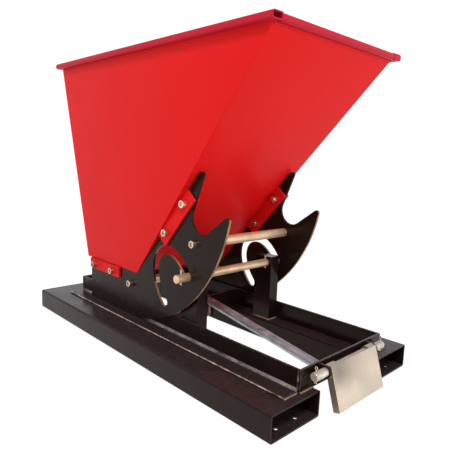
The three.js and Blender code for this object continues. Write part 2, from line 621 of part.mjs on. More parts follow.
const bracketBack = MIDDLE_BAR_X + GAP;
const cheekOuter = CHEEK_INNER_Y + CHEEK_THICK;
const latchBore = pinAlongY(LATCH_X, LATCH_Z, LATCH_PIN_RADIUS + GAP, -cheekOuter - 1, cheekOuter + 1, 16);
const cheeks = Object.values(SIDES).map((sign) =>
  block(bracketBack, LATCH_X + 16, sign * CHEEK_INNER_Y, sign * cheekOuter, LATCH_Z - 16, LATCH_Z + 16));
const backPlate = block(bracketBack, bracketBack + CHEEK_THICK, -cheekOuter, cheekOuter,
  LATCH_Z - 16, LATCH_Z + 16);
add('latch_bracket', cut(join(backPlate, ...cheeks), latchBore), blackPaint);
add('latch_pin', pinAlongY(LATCH_X, LATCH_Z, LATCH_PIN_RADIUS, -cheekOuter - 8, cheekOuter + 8), zinc);

class Coil extends THREE.Curve {
  constructor(radius, turns, length) {
    super();
    Object.assign(this, { radius, turns, length });
  }

  getPoint(t, target = new THREE.Vector3()) {
    const angle = 2 * Math.PI * this.turns * t;
    return target.set(this.radius * Math.cos(angle), this.length * t, this.radius * Math.sin(angle));
  }
}

const SPRING_WIRE = 1.2;
const wire = new THREE.Shape().absarc(0, 0, SPRING_WIRE, 0, Math.PI * 2);
const coil = new Coil(LATCH_PIN_RADIUS + SPRING_WIRE + 1, 2.5, 6.4);
const spring = new THREE.ExtrudeGeometry(wire, {
  steps: 40, extrudePath: coil, curveSegments: 3, bevelEnabled: false,
});
add('latch_spring', spring.translate(LATCH_X, LATCH_THICK / 2 + SPRING_WIRE + 0.4, LATCH_Z), zinc);

// ---------- origin: the middle of the outline, on the floor ----------

const paddleReach = PADDLE_X + PADDLE_FACE * Math.cos(PADDLE_LEAN) + PADDLE_DROP * Math.sin(PADDLE_LEAN);
object.position.x = -paddleReach / 2;

export default object;
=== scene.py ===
"""A self-tipping forklift hopper: red sheet-steel body on black rocker plates, black base with fork pockets,
galvanised release paddle. Metres, +X the way it tips, +Y its left side, +Z up."""

import math

import bmesh
import bpy
from mathutils import Matrix, Vector, noise


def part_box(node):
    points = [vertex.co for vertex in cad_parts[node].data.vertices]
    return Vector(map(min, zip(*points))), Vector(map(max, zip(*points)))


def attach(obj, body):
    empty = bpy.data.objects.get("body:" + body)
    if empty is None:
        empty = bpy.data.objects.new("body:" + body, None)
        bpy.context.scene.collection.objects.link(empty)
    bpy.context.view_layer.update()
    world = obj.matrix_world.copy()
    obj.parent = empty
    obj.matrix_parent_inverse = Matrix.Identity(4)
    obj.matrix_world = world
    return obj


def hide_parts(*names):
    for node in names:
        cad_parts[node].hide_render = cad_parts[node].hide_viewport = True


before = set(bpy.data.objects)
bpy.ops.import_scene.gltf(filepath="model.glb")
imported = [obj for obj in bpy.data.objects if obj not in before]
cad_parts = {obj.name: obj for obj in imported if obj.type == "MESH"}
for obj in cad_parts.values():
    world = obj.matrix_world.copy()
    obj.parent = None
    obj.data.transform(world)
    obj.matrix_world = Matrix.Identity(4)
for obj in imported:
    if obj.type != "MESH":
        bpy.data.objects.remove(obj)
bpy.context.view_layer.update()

MM = 0.001
SAME_PLACE = 1e-5  # two places nearer than this, in metres, count as one
SIDES = {"right": -1, "left": 1}
POCKETS_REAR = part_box("fork_pocket_right")[0].x


def at(x, y, z):
    """A place in millimetres: x from the rear end of the fork pockets, y from the middle, z from the floor."""
    return Vector((POCKETS_REAR + x * MM, y * MM, z * MM))


# ---------- camera ----------
# It stands off the right front corner, a little below the rim, and looks slightly down along the hopper.

camera = bpy.data.cameras.new("camera")
camera.sensor_width = 36
camera.lens = 37.70
camera.shift_x = -0.002
camera.shift_y = -0.0036
camera_place = bpy.data.objects.new("camera", camera)
camera_turn = (
    Matrix.Rotation(math.radians(45.98), 4, "Z")
    @ Matrix.Rotation(math.radians(90 - 8.16), 4, "X")
    @ Matrix.Rotation(math.radians(2.11), 4, "Z")
)
camera_place.matrix_world = Matrix.Translation((1.3003, -1.1600, 0.6846)) @ camera_turn
bpy.context.scene.collection.objects.link(camera_place)
bpy.context.scene.camera = camera_place

# ---------- studio: floor, sky and lamps ----------
# A white glowing floor and a white wall of light all round. The sky above the wall is at less than half
# strength, and one lamp high on the camera's side throws the rim's shadow on the walls.


def linear(code):
    """An sRGB hex colour as linear red, green, blue and alpha."""
    channels = [int(code[i : i + 2], 16) / 255 for i in (1, 3, 5)]
    return [c / 12.92 if c <= 0.04045 else ((c + 0.055) / 1.055) ** 2.4 for c in channels] + [1.0]


def add_node(tree, kind, inputs=None, **settings):
    """Adds a node, sets its own settings, and fills its inputs with values or links."""
    made = tree.nodes.new(kind)
    for key, value in settings.items():
        setattr(made, key, value)
    for socket, value in (inputs or {}).items():
        if isinstance(value, bpy.types.NodeSocket):
            tree.links.new(value, made.inputs[socket])
        else:
            made.inputs[socket].default_value = value
    return made


def remap(tree, value, from_range, to_range=(0.0, 1.0)):
    """The value with from_range stretched to to_range, and held at its ends."""
    limits = {"From Min": from_range[0], "From Max": from_range[1], "To Min": to_range[0], "To Max": to_range[1]}
    return add_node(tree, "ShaderNodeMapRange", {"Value": value, **limits}).outputs["Result"]


bpy.context.scene.view_settings.view_transform = "Standard"

sky = bpy.data.worlds.new("white_backdrop")
sky.use_nodes = True
sky_tree = sky.node_tree
sky_light = sky_tree.nodes["Background"]
sky_light.inputs["Color"].default_value = linear("#fbfbff")
sky_way = add_node(sky_tree, "ShaderNodeTexCoord").outputs["Generated"]
height = add_node(sky_tree, "ShaderNodeSeparateXYZ", {"Vector": sky_way}).outputs["Z"]
WALL_TOP = (0.36, 0.55)  # the wall of light fades out between these heights, as sines of the angle
WALL_STRENGTH, SKY_STRENGTH = 1.1, 0.42
backdrop = remap(sky_tree, height, WALL_TOP, (WALL_STRENGTH, SKY_STRENGTH))
sky_tree.links.new(backdrop, sky_light.inputs["Strength"])
bpy.context.scene.world = sky

floor_paint = bpy.data.materials.new("studio_floor")
floor_paint.use_nodes = True
floor_shader = floor_paint.node_tree.nodes["Principled BSDF"]
floor_shader.inputs["Base Color"].default_value = linear("#404040")
floor_shader.inputs["Roughness"].default_value = 0.9
floor_shader.inputs["Specular IOR Level"].default_value = 0.1
floor_shader.inputs["Emission Color"].default_value = linear("#ffffff")
floor_shader.inputs["Emission Strength"].default_value = 1.0

FLOOR_HALF = 40
FLOOR_Z = -0.0006  # just under the pockets, so that the two surfaces don't lie in one plane
floor_mesh = bpy.data.meshes.new("studio_floor")
floor_corners = [(-1, -1), (1, -1), (1, 1), (-1, 1)]
floor_places = [(x * FLOOR_HALF, y * FLOOR_HALF, FLOOR_Z) for x, y in floor_corners]
floor_mesh.from_pydata(floor_places, [], [(0, 1, 2, 3)])
floor_mesh.materials.append(floor_paint)
floor = bpy.data.objects.new("studio_floor", floor_mesh)
bpy.context.scene.collection.objects.link(floor)


def soft_lamp(name, place, target, size, power, colour):
    """A round lamp, size metres across, that points at the target. power is in watts."""
    lamp = bpy.data.lights.new(name, "AREA")
    lamp.shape = "DISK"
    lamp.size = size
    lamp.energy = power
    lamp.color = linear(colour)[:3]
    holder = bpy.data.objects.new(name, lamp)
    holder.location = place
    holder.rotation_euler = (Vector(target) - Vector(place)).to_track_quat("-Z", "Y").to_euler()
    bpy.context.scene.collection.objects.link(holder)


soft_lamp("key_lamp", (2.3, -2.6, 3.4), (0, 0, 0.5), 0.9, 100, "#fffaf4")
soft_lamp("front_lamp", (3.4, 0.7, 0.9), (0, 0, 0.6), 2.0, 36, "#fff6ee")

# ---------- fork pockets ----------
# Two lengths of 200 x 76 mm rectangular steel tube with 5 mm walls, sawn square and painted gloss black.
# Each has two drain holes in its floor at the front end. Rolling leaves their long corners round, 7 mm in radius.


def new_paint(name):
    """A new material, with its nodes, its shader and the texture coordinates."""
    paint = bpy.data.materials.new(name)
    paint.use_nodes = True
    tree = paint.node_tree
    return paint, tree, tree.nodes["Principled BSDF"], add_node(tree, "ShaderNodeTexCoord").outputs


def clouds(tree, place, scale, detail, rough=0.5):
    """Soft random patches, from 0 to 1. scale is about how many there are to a metre."""
    settings = {"Vector": place, "Scale": scale, "Detail": detail, "Roughness": rough}
    return add_node(tree, "ShaderNodeTexNoise", settings).outputs["Fac"]


def blend(tree, amount, under, over):
    """Goes from one colour to another by amount."""
    colours = {"Factor": amount, "A": under, "B": over}
    return add_node(tree, "ShaderNodeMix", colours, data_type="RGBA").outputs["Result"]


def facing_up(tree, normal, start, most, patches):
    """How much pale film lies on a surface, dust together with a painted sheen: none below the start, and up to
    most of the patches where it faces up.
    """
    turned = add_node(tree, "ShaderNodeSeparateXYZ", {"Vector": normal}).outputs["Z"]
    upward = remap(tree, turned, (start, 1.0), (0.0, most))
    return add_node(tree, "ShaderNodeMath", {0: upward, 1: patches}, operation="MULTIPLY").outputs["Value"]


def add_relief(tree, shader, height, strength, depth_mm):
    """Small bumps in the surface, depth_mm deep at most."""
    bump = {"Height": height, "Strength": strength, "Distance": depth_mm * MM}
    tree.links.new(add_node(tree, "ShaderNodeBump", bump).outputs["Normal"], shader.inputs["Normal"])


def black_enamel(name, scuffed):
    """Gloss black enamel on rolled steel. The coat is nearly black with a warm brown cast, lies over the mill
    scale in soft waves some 25 mm long, and carries a grey film where it faces up, dust together with a painted
    sheen of the sky. scuffed, from 0 to 1, is how much of it has gone dull and brown; as the material of bevelled
    edges, at 1, this brown is wear together with a painted highlight."""
    paint, tree, shader, coordinates = new_paint(name)
    place = coordinates["Object"]
    cloud = clouds(tree, place, 9.0, 5.0, 0.6)
    rubbed = clouds(tree, place, 60.0, 6.0, 0.7)
    amount = remap(tree, rubbed, (0.72 - 0.32 * scuffed, 0.86 - 0.2 * scuffed), (0.0, scuffed))
    coat = blend(tree, cloud, linear("#0f0a08"), linear("#20130f"))
    worn = blend(tree, amount, coat, linear("#75604f"))
    # Where it faces up the coat goes grey: dust, and a painted sheen of the sky.
    dust_and_sheen = facing_up(tree, coordinates["Normal"], 0.5, 0.36, rubbed)
    tree.links.new(blend(tree, dust_and_sheen, worn, linear("#6a5d5e")), shader.inputs["Base Color"])
    gloss = remap(tree, cloud, (0.3, 0.7), (0.16, 0.34))
    dulled = add_node(tree, "ShaderNodeMath", {0: gloss, 1: amount}, operation="ADD", use_clamp=True)
    tree.links.new(dulled.outputs["Value"], shader.inputs["Roughness"])
    shader.inputs["Specular IOR Level"].default_value = 0.16
    shader.inputs["Specular Tint"].default_value = (1.0, 0.78, 0.72, 1.0)
    add_relief(tree, shader, clouds(tree, place, 40.0, 3.0, 0.45), 0.35, 1.2)
    return paint


def bare_steel(name, dark, light, rough, grain, metallic=1.0, relief_mm=0.3):
    """Bare or plated steel in two tones: fine marks from rolling or drawing, with soft patches of tarnish over
    them. grain is how many marks there are to a metre along x, y and z."""
    steel, tree, shader, coordinates = new_paint(name)
    place = coordinates["Object"]
    stretched = add_node(tree, "ShaderNodeMapping", {"Vector": place, "Scale": grain}).outputs["Vector"]
    marks = clouds(tree, stretched, 1.0, 4.0, 0.62)
    patches = clouds(tree, place, 22.0, 3.0)
    both = add_node(tree, "ShaderNodeMath", {0: marks, 1: patches}, operation="ADD").outputs["Value"]
    colour = blend(tree, remap(tree, both, (0.75, 1.25)), linear(dark), linear(light))
    tree.links.new(colour, shader.inputs["Base Color"])
    tree.links.new(remap(tree, marks, (0.3, 0.7), (rough - 0.08, rough + 0.1)), shader.inputs["Roughness"])
    shader.inputs["Metallic"].default_value = metallic
    add_relief(tree, shader, marks, 0.5, relief_mm)
    return steel


def copy_solid(node):
    """The node's shape as a clean mesh, with its triangles joined into flat faces."""
    shape = bmesh.new()
    shape.from_mesh(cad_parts[node].data)
    bmesh.ops.remove_doubles(shape, verts=shape.verts, dist=2e-6)
    bmesh.ops.dissolve_limit(shape, angle_limit=math.radians(0.8), verts=shape.verts, edges=shape.edges)
    return shape


def finish_piece(name, shape, body, paints, replaces=(), edge=0.8, edge_paint=0, steep=35):
    """Makes the piece from its mesh. Edges steeper than steep degrees are rounded by edge mm and take the
    material at edge_paint. With an edge of 0 they are only kept sharp."""
    mesh = bpy.data.meshes.new(name)
    shape.to_mesh(mesh)
    shape.free()
    piece = bpy.data.objects.new(name, mesh)
    bpy.context.scene.collection.objects.link(piece)
    for paint in paints:
        mesh.materials.append(paint)
    mesh.shade_smooth()
    if edge:
        rounding = piece.modifiers.new("rounded_edges", "BEVEL")
        rounding.width = edge * MM
        rounding.segments = 2
        rounding.limit_method = "ANGLE"
        rounding.angle_limit = math.radians(steep)
        rounding.material = edge_paint
        shading = piece.modifiers.new("flat_faces_shade_flat", "WEIGHTED_NORMAL")
        shading.mode = "FACE_AREA"
        shading.weight = 100
    else:
        mesh.set_sharp_from_angle(angle=math.radians(steep))
    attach(piece, body)
    if replaces:
        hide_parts(*replaces)
    return piece


chassis_black = black_enamel("black_enamel_on_rolled_steel", 0.15)
# Bevelled edges of black parts take this browner copy: wear together with a painted highlight.
chassis_worn_and_highlit = black_enamel("black_enamel_worn_and_painted_highlight_at_edges", 1.0)
BLACK = [chassis_black, chassis_worn_and_highlit]


def round_some(shape, chosen, size, steps, paint=-1):
    """Rounds the edges that chosen picks by size mm. chosen is given an edge's two ends. paint is the material's
    place in the piece's list for the rounded strips, or -1 for the neighbour's."""
    picked = [e for e in shape.edges if chosen(e.verts[0].co, e.verts[1].co)]
    bmesh.ops.bevel(shape, geom=picked, offset=size * MM, offset_type="OFFSET", segments=steps, profile=0.5,
                    affect="EDGES", clamp_overlap=True, material=paint)


for side in SIDES:
    node = f"fork_pocket_{side}"
    low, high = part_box(node)

    def rolled_corner(a, b, low=low, high=high):
        lengthwise = abs(a.x - b.x) > 0.5
        return lengthwise and all(min(abs(a[i] - low[i]), abs(a[i] - high[i])) < SAME_PLACE for i in (1, 2))

    shape = copy_solid(node)
    round_some(shape, rolled_corner, 7, 5)
    finish_piece(f"{node}_tube", shape, "base", BLACK, [node], edge=0.8, edge_paint=1, steep=40)

# ---------- frame of angle bars ----------
# Two rails and three crossbars of rolled 65 x 65 x 6 mm angle, with the rounded root that rolling leaves,
# welded to each other and to the pockets.

ROOT = 7  # radius of the rounded root
RAIL_FOOT, THICK = 76.3, 6
CROSSBAR_HALF = 200.6


# Bevelled edges and the rails' toes are painted light tan: rubbed-off paint together with a painted highlight where
# the edges catch the light.
worn_edge_and_highlight = bare_steel("paint_rubbed_off_edge_and_painted_highlight", "#4a3a31", "#ddcbb6", 0.5, (70, 70, 70), metallic=0.3)
# The root strips are painted light grey: dust together with a painted highlight along the rounded root.
root_dust_and_highlight = bare_steel("dust_and_painted_highlight_in_the_root", "#1c1716", "#928a86", 0.7, (260, 260, 260), metallic=0.0)


def root_fillet(shape, start, end, up, out):
    """The rounded inner corner of an angle bar, from start to end. up and out point along its two legs."""
    arc = [Vector((0, 0, 0))]
    for step in range(7):
        turn = math.pi / 2 * step / 6
        arc.append((up * (1 - math.sin(turn)) + out * (1 - math.cos(turn))) * ROOT * MM)
    rings = [[shape.verts.new(end_place + offset) for offset in arc] for end_place in (start, end)]
    for i in range(len(arc)):
        j = (i + 1) % len(arc)
        strip = shape.faces.new((rings[0][i], rings[0][j], rings[1][j], rings[1][i]))
        # Material 2, light grey: dust and a painted highlight.
        strip.material_index = 2
    shape.faces.new(rings[0])
    shape.faces.new(rings[1][::-1])
    bmesh.ops.recalc_face_normals(shape, faces=shape.faces)


UP = Vector((0, 0, 1))
ALONG = Vector((1, 0, 0))
ACROSS = Vector((0, 1, 0))

ANGLE_PAINTS = [chassis_black, worn_edge_and_highlight, root_dust_and_highlight]

for side, sign in SIDES.items():
    node = f"rail_{side}"
    shape = copy_solid(node)
    toe_y = max(abs(limit.y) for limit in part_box(node))

    def toe_edge(a, b, toe_y=toe_y):
        on_toe = all(abs(abs(v.y) - toe_y) < SAME_PLACE and abs(v.z / MM - RAIL_FOOT - THICK) < 0.5 for v in (a, b))
        return on_toe and abs(a.x - b.x) > 0.5

    # The toe's rounded strip takes material 1, light tan: rubbed paint and a painted highlight.
    round_some(shape, toe_edge, 2.6, 3, paint=1)
    rear, front = [at(x, sign * 207, RAIL_FOOT + THICK) for x in (114.3, 1290.7)]
    root_fillet(shape, rear, front, UP, ACROSS * sign)
    finish_piece(f"{node}_angle", shape, "base", ANGLE_PAINTS, [node],
                 edge=1.0, edge_paint=1, steep=50)

for end, upright, out in (("front", 1291, -1), ("middle", 654, -1), ("rear", 114, 1)):
    node = f"crossbar_{end}"
    shape = copy_solid(node)
    right, left = [at(upright, y, RAIL_FOOT + THICK) for y in (-CROSSBAR_HALF, CROSSBAR_HALF)]
    root_fillet(shape, right, left, UP, ALONG * out)
    finish_piece(f"{node}_angle", shape, "base", ANGLE_PAINTS, [node],
                 edge=1.0, edge_paint=1, steep=50)

# ---------- welds of the base ----------
# Beads of overlapping ripples, laid by hand with a wire torch and painted over. At the front crossbar's foot
# the paint has burnt off, and the bead is bare and brownish.

burnt_weld = bare_steel("burnt_weld_metal", "#4a352a", "#b39a86", 0.5, (300, 300, 300), metallic=0.7)


def ring_round(shape, centre, side_way, up_way, radius, sides):
    """A ring of points round the centre, in the plane of the two directions. radius is in metres."""
    angles = [2 * math.pi * k / sides for k in range(sides)]
    return [shape.verts.new(centre + (side_way * math.cos(a) + up_way * math.sin(a)) * radius) for a in angles]


def skin(shape, rings):
    """Walls from ring to ring, and a face on each end."""
    for ring, following in zip(rings, rings[1:]):
        for k in range(len(ring)):
            j = (k + 1) % len(ring)
            shape.faces.new((ring[k], ring[j], following[j], following[k]))
    shape.faces.new(rings[0][::-1])
    shape.faces.new(rings[-1])


RIPPLE, RING_STEP = 3.2 * MM, 1.1 * MM


def bead(shape, start, end, size):
    """A rippled round bead of radius size mm from start to end, which are places. Its ends are thinner."""
    run = end - start
    heading = run.normalized()
    side_way = heading.orthogonal().normalized()
    up_way = heading.cross(side_way)
    count = max(2, round(run.length / RING_STEP))
    rings = []
    for step in range(count + 1):
        place = start + run * step / count
        phase = run.length * step / count / RIPPLE
        swell = 0.84 + 0.2 * abs(math.sin(math.pi * phase)) + 0.12 * noise.noise(place * 90)
        taper = min(1.0, 0.45 + 0.3 * min(step, count - step))
        rings.append(ring_round(shape, place, side_way, up_way, size * MM * swell * taper, 8))
    skin(shape, rings)


def weld(name, runs, size, body, paint):
    """One piece made of several straight beads. Each run is a start and an end."""
    shape = bmesh.new()
    for start, end in runs:
        bead(shape, start, end, size)
    bmesh.ops.recalc_face_normals(shape, faces=shape.faces)
    finish_piece(name, shape, body, [paint], edge=0, steep=70)


for side, sign in SIDES.items():
    inner, outer = sign * 146, sign * 264
    corner = sign * 207.4
    toe = [(at(x, sign * 266.4, 77), at(x + 70, sign * 266.4, 77)) for x in range(190, 1200, 210)]
    weld(f"rail_toe_welds_{side}", toe, 3.2, "base", chassis_black)
    corners = [(at(x, corner, 84), at(x, corner, 139)) for x in (114.6, 1290.6)]
    weld(f"rail_corner_welds_{side}", corners, 3.0, "base", chassis_worn_and_highlit)
    weld(f"front_foot_weld_{side}", [(at(1297.6, inner, 77), at(1297.6, sign * 206, 77))], 3.6,
         "base", burnt_weld)
    weld(f"rail_end_weld_{side}", [(at(1291.2, sign * 208, 77), at(1291.2, outer, 77))], 3.4,
         "base", burnt_weld)
    feet = [(at(x, sign * 146, 77), at(x, sign * 200, 77)) for x in (107.4, 594.6, 660.6, 1231.6)]
    weld(f"crossbar_foot_welds_{side}", feet, 3.0, "base", chassis_black)

# ---------- posts ----------
# Two uprights of 80 x 45 x 4 mm tube with capped tops, bored for the pivot shaft and welded to the
# pockets beside the rails.


for side, sign in SIDES.items():
    node = f"post_{side}"
    low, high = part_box(node)

    def outer_upright(a, b, low=low, high=high):
        upright = abs(a.z - b.z) > 0.2
        return upright and all(min(abs(a[i] - low[i]), abs(a[i] - high[i])) < SAME_PLACE for i in (0, 1))

    shape = copy_solid(node)
    round_some(shape, outer_upright, 5, 4)
    finish_piece(f"{node}_tube", shape, "base", BLACK, [node], edge=0.8, edge_paint=1, steep=50)
    inner_y = low.y if sign > 0 else high.y
    outer_y = sign * 200.4 * MM
    foot_z = 77.5 * MM
    ahead, back = Vector((high.x, inner_y, foot_z)), Vector((low.x, inner_y, foot_z))
    foot = [(ahead, Vector((high.x, outer_y, foot_z))), (back, Vector((low.x, outer_y, foot_z))), (back, ahead)]
    weld(f"post_foot_weld_{side}", foot, 3.6, "base", burnt_weld)

# ---------- pivot shaft and its split pins ----------
# A 28 mm drawn steel bar with chamfered ends, yellowish zinc on it. A split pin on each side of each post
# and rocker plate keeps it from sliding out.

SHAFT = (847, 295)
drawn_bar = bare_steel("drawn_bar_zinc_plated", "#c9a986", "#ecd0ae", 0.42, (500, 12, 500), metallic=0.7,
                       relief_mm=0.12)
pin_steel = bare_steel("split_pin_steel", "#a29482", "#efe4d2", 0.34, (250, 250, 250))


def turned_bar(x, z, half, radius, chamfer, sides=56):
    """A round bar along y with chamfered ends. x, z, its half length, radius and chamfer's width are in mm."""
    shape = bmesh.new()
    tip = radius - chamfer[1]
    outline = [(-half, tip), (chamfer[0] - half, radius), (half - chamfer[0], radius), (half, tip)]
    skin(shape, [ring_round(shape, at(x, y, z), ALONG, UP, r * MM, sides) for y, r in outline])
    bmesh.ops.recalc_face_normals(shape, faces=shape.faces)
    return shape


def swept_wire(points, radius):
    """A round wire of radius mm through the points, which are places."""
    shape = bmesh.new()
    rings = []
    side_way = None
    for i, place in enumerate(points):
        heading = (points[min(i + 1, len(points) - 1)] - points[max(i - 1, 0)]).normalized()
        side_way = heading.orthogonal() if side_way is None else side_way
        side_way = (side_way - heading * side_way.dot(heading)).normalized()
        rings.append(ring_round(shape, place, side_way, heading.cross(side_way), radius * MM, 10))
    skin(shape, rings)
    bmesh.ops.recalc_face_normals(shape, faces=shape.faces)
    return shape


def split_pin(node, x, z, shaft_radius):
    """A pin bent from half-round wire: two legs side by side through the shaft, and an eye on top."""
    low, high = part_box(node)
    y = (low.y + high.y) / 2 / MM
    reach = shaft_radius + 6
    gap = 1.15
    eye_radius, wire = 3.9, 1.25
    points = [at(x - 3.2, y, z - reach - 1), at(x - 1.8, y, z - reach + 3), at(x - gap, y, z - shaft_radius)]
    points += [at(x - gap, y, z + shaft_radius), at(x - gap, y, z + reach)]
    centre = z + reach + eye_radius + 1
    for step in range(13):
        turn = math.radians(-110 - 320 * step / 12)
        points.append(at(x + eye_radius * math.cos(turn), y, centre + eye_radius * math.sin(turn)))
    points += [at(x + gap, y, z + reach), at(x + gap, y, z + shaft_radius), at(x + gap, y, z - shaft_radius)]
    points += [at(x + 1.8, y, z - reach + 3), at(x + 3.2, y, z - reach - 1)]
    finish_piece(f"{node}_wire", swept_wire(points, wire), "base", [pin_steel], [node],
                 edge=0, steep=60)


finish_piece("pivot_shaft_bar", turned_bar(*SHAFT, 271, 14, (2, 2)), "base", [drawn_bar],
             ["pivot_shaft"], edge=0, steep=30)
for side, sign in SIDES.items():
    split_pin(f"split_pin_plate_{side}", *SHAFT, 14)
    split_pin(f"split_pin_post_{side}", *SHAFT, 14)

# ---------- latch: bracket, pin, spring and lever ----------
# A folded bracket welded to the middle crossbar carries a 12 mm flat lever on a pin. The lever's end props
# the lower tie bar until the rod turns it down.

lever_steel = bare_steel("flat_bar_brown_scale", "#3b2a22", "#8a6a55", 0.45, (80, 80, 400), metallic=0.6)
finish_piece("latch_bracket_plate", copy_solid("latch_bracket"), "base", BLACK,
             ["latch_bracket"], edge=0.8, edge_paint=1)
LATCH_PIN = (694, 90)
finish_piece("latch_pin_bar", turned_bar(*LATCH_PIN, 30, 7, (1, 1), sides=32), "base",
             [pin_steel], ["latch_pin"], edge=0, steep=30)
finish_piece("latch_lever_plate", copy_solid("latch_lever"), "latch", [lever_steel],
             ["latch_lever"], edge=0.8)

SPRING_TURNS, SPRING_RADIUS, SPRING_STEPS = 2.5, 9.2, 60
coil = []
for step in range(SPRING_STEPS + 1):
    turn = 2 * math.pi * SPRING_TURNS * step / SPRING_STEPS
    along = 7.6 + 6.4 * step / SPRING_STEPS
    out = (ALONG * math.cos(turn) + UP * math.sin(turn)) * SPRING_RADIUS * MM
    coil.append(at(LATCH_PIN[0], along, LATCH_PIN[1]) + out)
finish_piece("latch_spring_wire", swept_wire(coil, 1.2), "base", [pin_steel], ["latch_spring"],
             edge=0, steep=60)

# ---------- release rod ----------
# A 30 mm round bar slotted at both ends like a clevis, dull galvanised, with a pin for the lever.

rod_steel = bare_steel("galvanised_rod", "#8f8c8e", "#c3c8d2", 0.48, (14, 160, 160), metallic=0.7, relief_mm=0.15)
finish_piece("release_rod_bar", copy_solid("release_rod"), "rod", [rod_steel], ["release_rod"],
             edge=1.0, steep=40)
finish_piece("rod_pin_bar", turned_bar(702, 142, 19, 6, (1, 1), sides=32), "rod", [pin_steel],
             ["rod_pin"], edge=0, steep=30)

# ---------- paddle, its shaft and lugs ----------
# The paddle is 5 mm plate folded at both sides, with two short sleeves that turn on the shaft, hot-dip
# galvanised: grey with a warm cast and cloudy. Its folds and lower front edge carry a painted highlight, and
# the faces turned to the sides are painted darker as shade.

PADDLE_AXIS = (1318, 120)
PADDLE_LEAN = math.radians(17)
PADDLE_FACE, PADDLE_DROP = 17.5 * MM, 112 * MM  # from the shaft's axis out to the front face, and down it


def galvanised(name, dark, light, rough):
    """Hot-dip galvanised plate: grains of spangle some 12 mm across, with clouds of dull oxide over them."""
    steel, tree, shader, coordinates = new_paint(name)
    place = coordinates["Object"]
    spangle = add_node(tree, "ShaderNodeTexVoronoi", {"Vector": place, "Scale": 85.0}).outputs["Color"]
    grey = add_node(tree, "ShaderNodeSeparateColor", {"Color": spangle}).outputs["Red"]
    cloud = clouds(tree, place, 9.0, 5.0, 0.5)
    both = add_node(tree, "ShaderNodeMath", {0: grey, 1: 0.1, 2: cloud}, operation="MULTIPLY_ADD").outputs["Value"]
    colour = blend(tree, remap(tree, both, (0.38, 0.85)), linear(dark), linear(light))
    tree.links.new(colour, shader.inputs["Base Color"])
    tree.links.new(remap(tree, both, (0.4, 0.8), (rough - 0.08, rough + 0.12)), shader.inputs["Roughness"])
    shader.inputs["Metallic"].default_value = 0.8
    add_relief(tree, shader, cloud, 0.4, 0.8)
    return steel


paddle_zinc = galvanised("hot_dip_galvanised_plate", "#bdb1a1", "#d0c4b2", 0.46)
# A paler copy for the folds and the lower front edge: painted highlight.
fold_highlight_zinc = galvanised("galvanised_fold_painted_highlight", "#dfd4be", "#fff6e2", 0.3)
# A darker copy for the faces turned to the sides: painted shade.
side_shade_zinc = galvanised("galvanised_sides_painted_shade", "#7d6f60", "#9a8c7c", 0.5)


def paddle_fold(a, b):
    """The paddle's outer side edges, with the curve over its sleeves, and its lower front edge."""
    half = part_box("paddle")[1].y
    at_side = all(abs(abs(v.y) - half) < SAME_PLACE for v in (a, b)) and a.y * b.y > 0
    offsets = [v - at(PADDLE_AXIS[0], 0, PADDLE_AXIS[1]) for v in (a, b)]
    front = [o.x * math.cos(PADDLE_LEAN) + o.z * math.sin(PADDLE_LEAN) for o in offsets]
    low = [o.z * math.cos(PADDLE_LEAN) - o.x * math.sin(PADDLE_LEAN) for o in offsets]
    on_face = all(abs(f - PADDLE_FACE) < 2 * SAME_PLACE for f in front)
    on_sleeve = all(abs(math.hypot(o.x, o.z) - PADDLE_FACE) < 2 * SAME_PLACE for o in offsets)
    at_foot = on_face and all(abs(value + PADDLE_DROP) < 2 * SAME_PLACE for value in low)
    return (at_side and (on_face or on_sleeve)) or at_foot


shape = copy_solid("paddle")
round_some(shape, paddle_fold, 4.4, 4, paint=1)
# Faces turned to the sides take the darker copy, painted shade.
for face in shape.faces:
    if abs(face.normal.y) > 0.99:
        face.material_index = 2
finish_piece("paddle_plate", shape, "paddle", [paddle_zinc, fold_highlight_zinc, side_shade_zinc],
             ["paddle"], edge=0.8, edge_paint=1, steep=40)

zinc_bar = bare_steel("galvanised_bar", "#b5aaa0", "#dcd4ca", 0.42, (300, 12, 300), metallic=0.7, relief_mm=0.12)
finish_piece("paddle_shaft_bar", turned_bar(*PADDLE_AXIS, 176, 12.5, (1.5, 1.5)), "base",
             [zinc_bar], ["paddle_shaft"], edge=0, steep=30)
for side, sign in SIDES.items():
    split_pin(f"split_pin_paddle_{side}", *PADDLE_AXIS, 12.5)
    node = f"paddle_lug_{side}"
    finish_piece(f"{node}_plate", copy_solid(node), "base", BLACK, [node], edge=1.0, edge_paint=1)
    runs = [(at(1298, sign * y, 82), at(1298, sign * y, 138)) for y in (118.6, 125.4)]
    weld(f"paddle_lug_weld_{side}", runs, 2.6, "base", chassis_black)

# ---------- hopper walls ----------
# Five sheets of 4 mm steel, welded inside along every corner and sprayed with gloss signal-red enamel. The
# big sheets are never quite flat: they belly by a fraction of a millimetre between their edges.


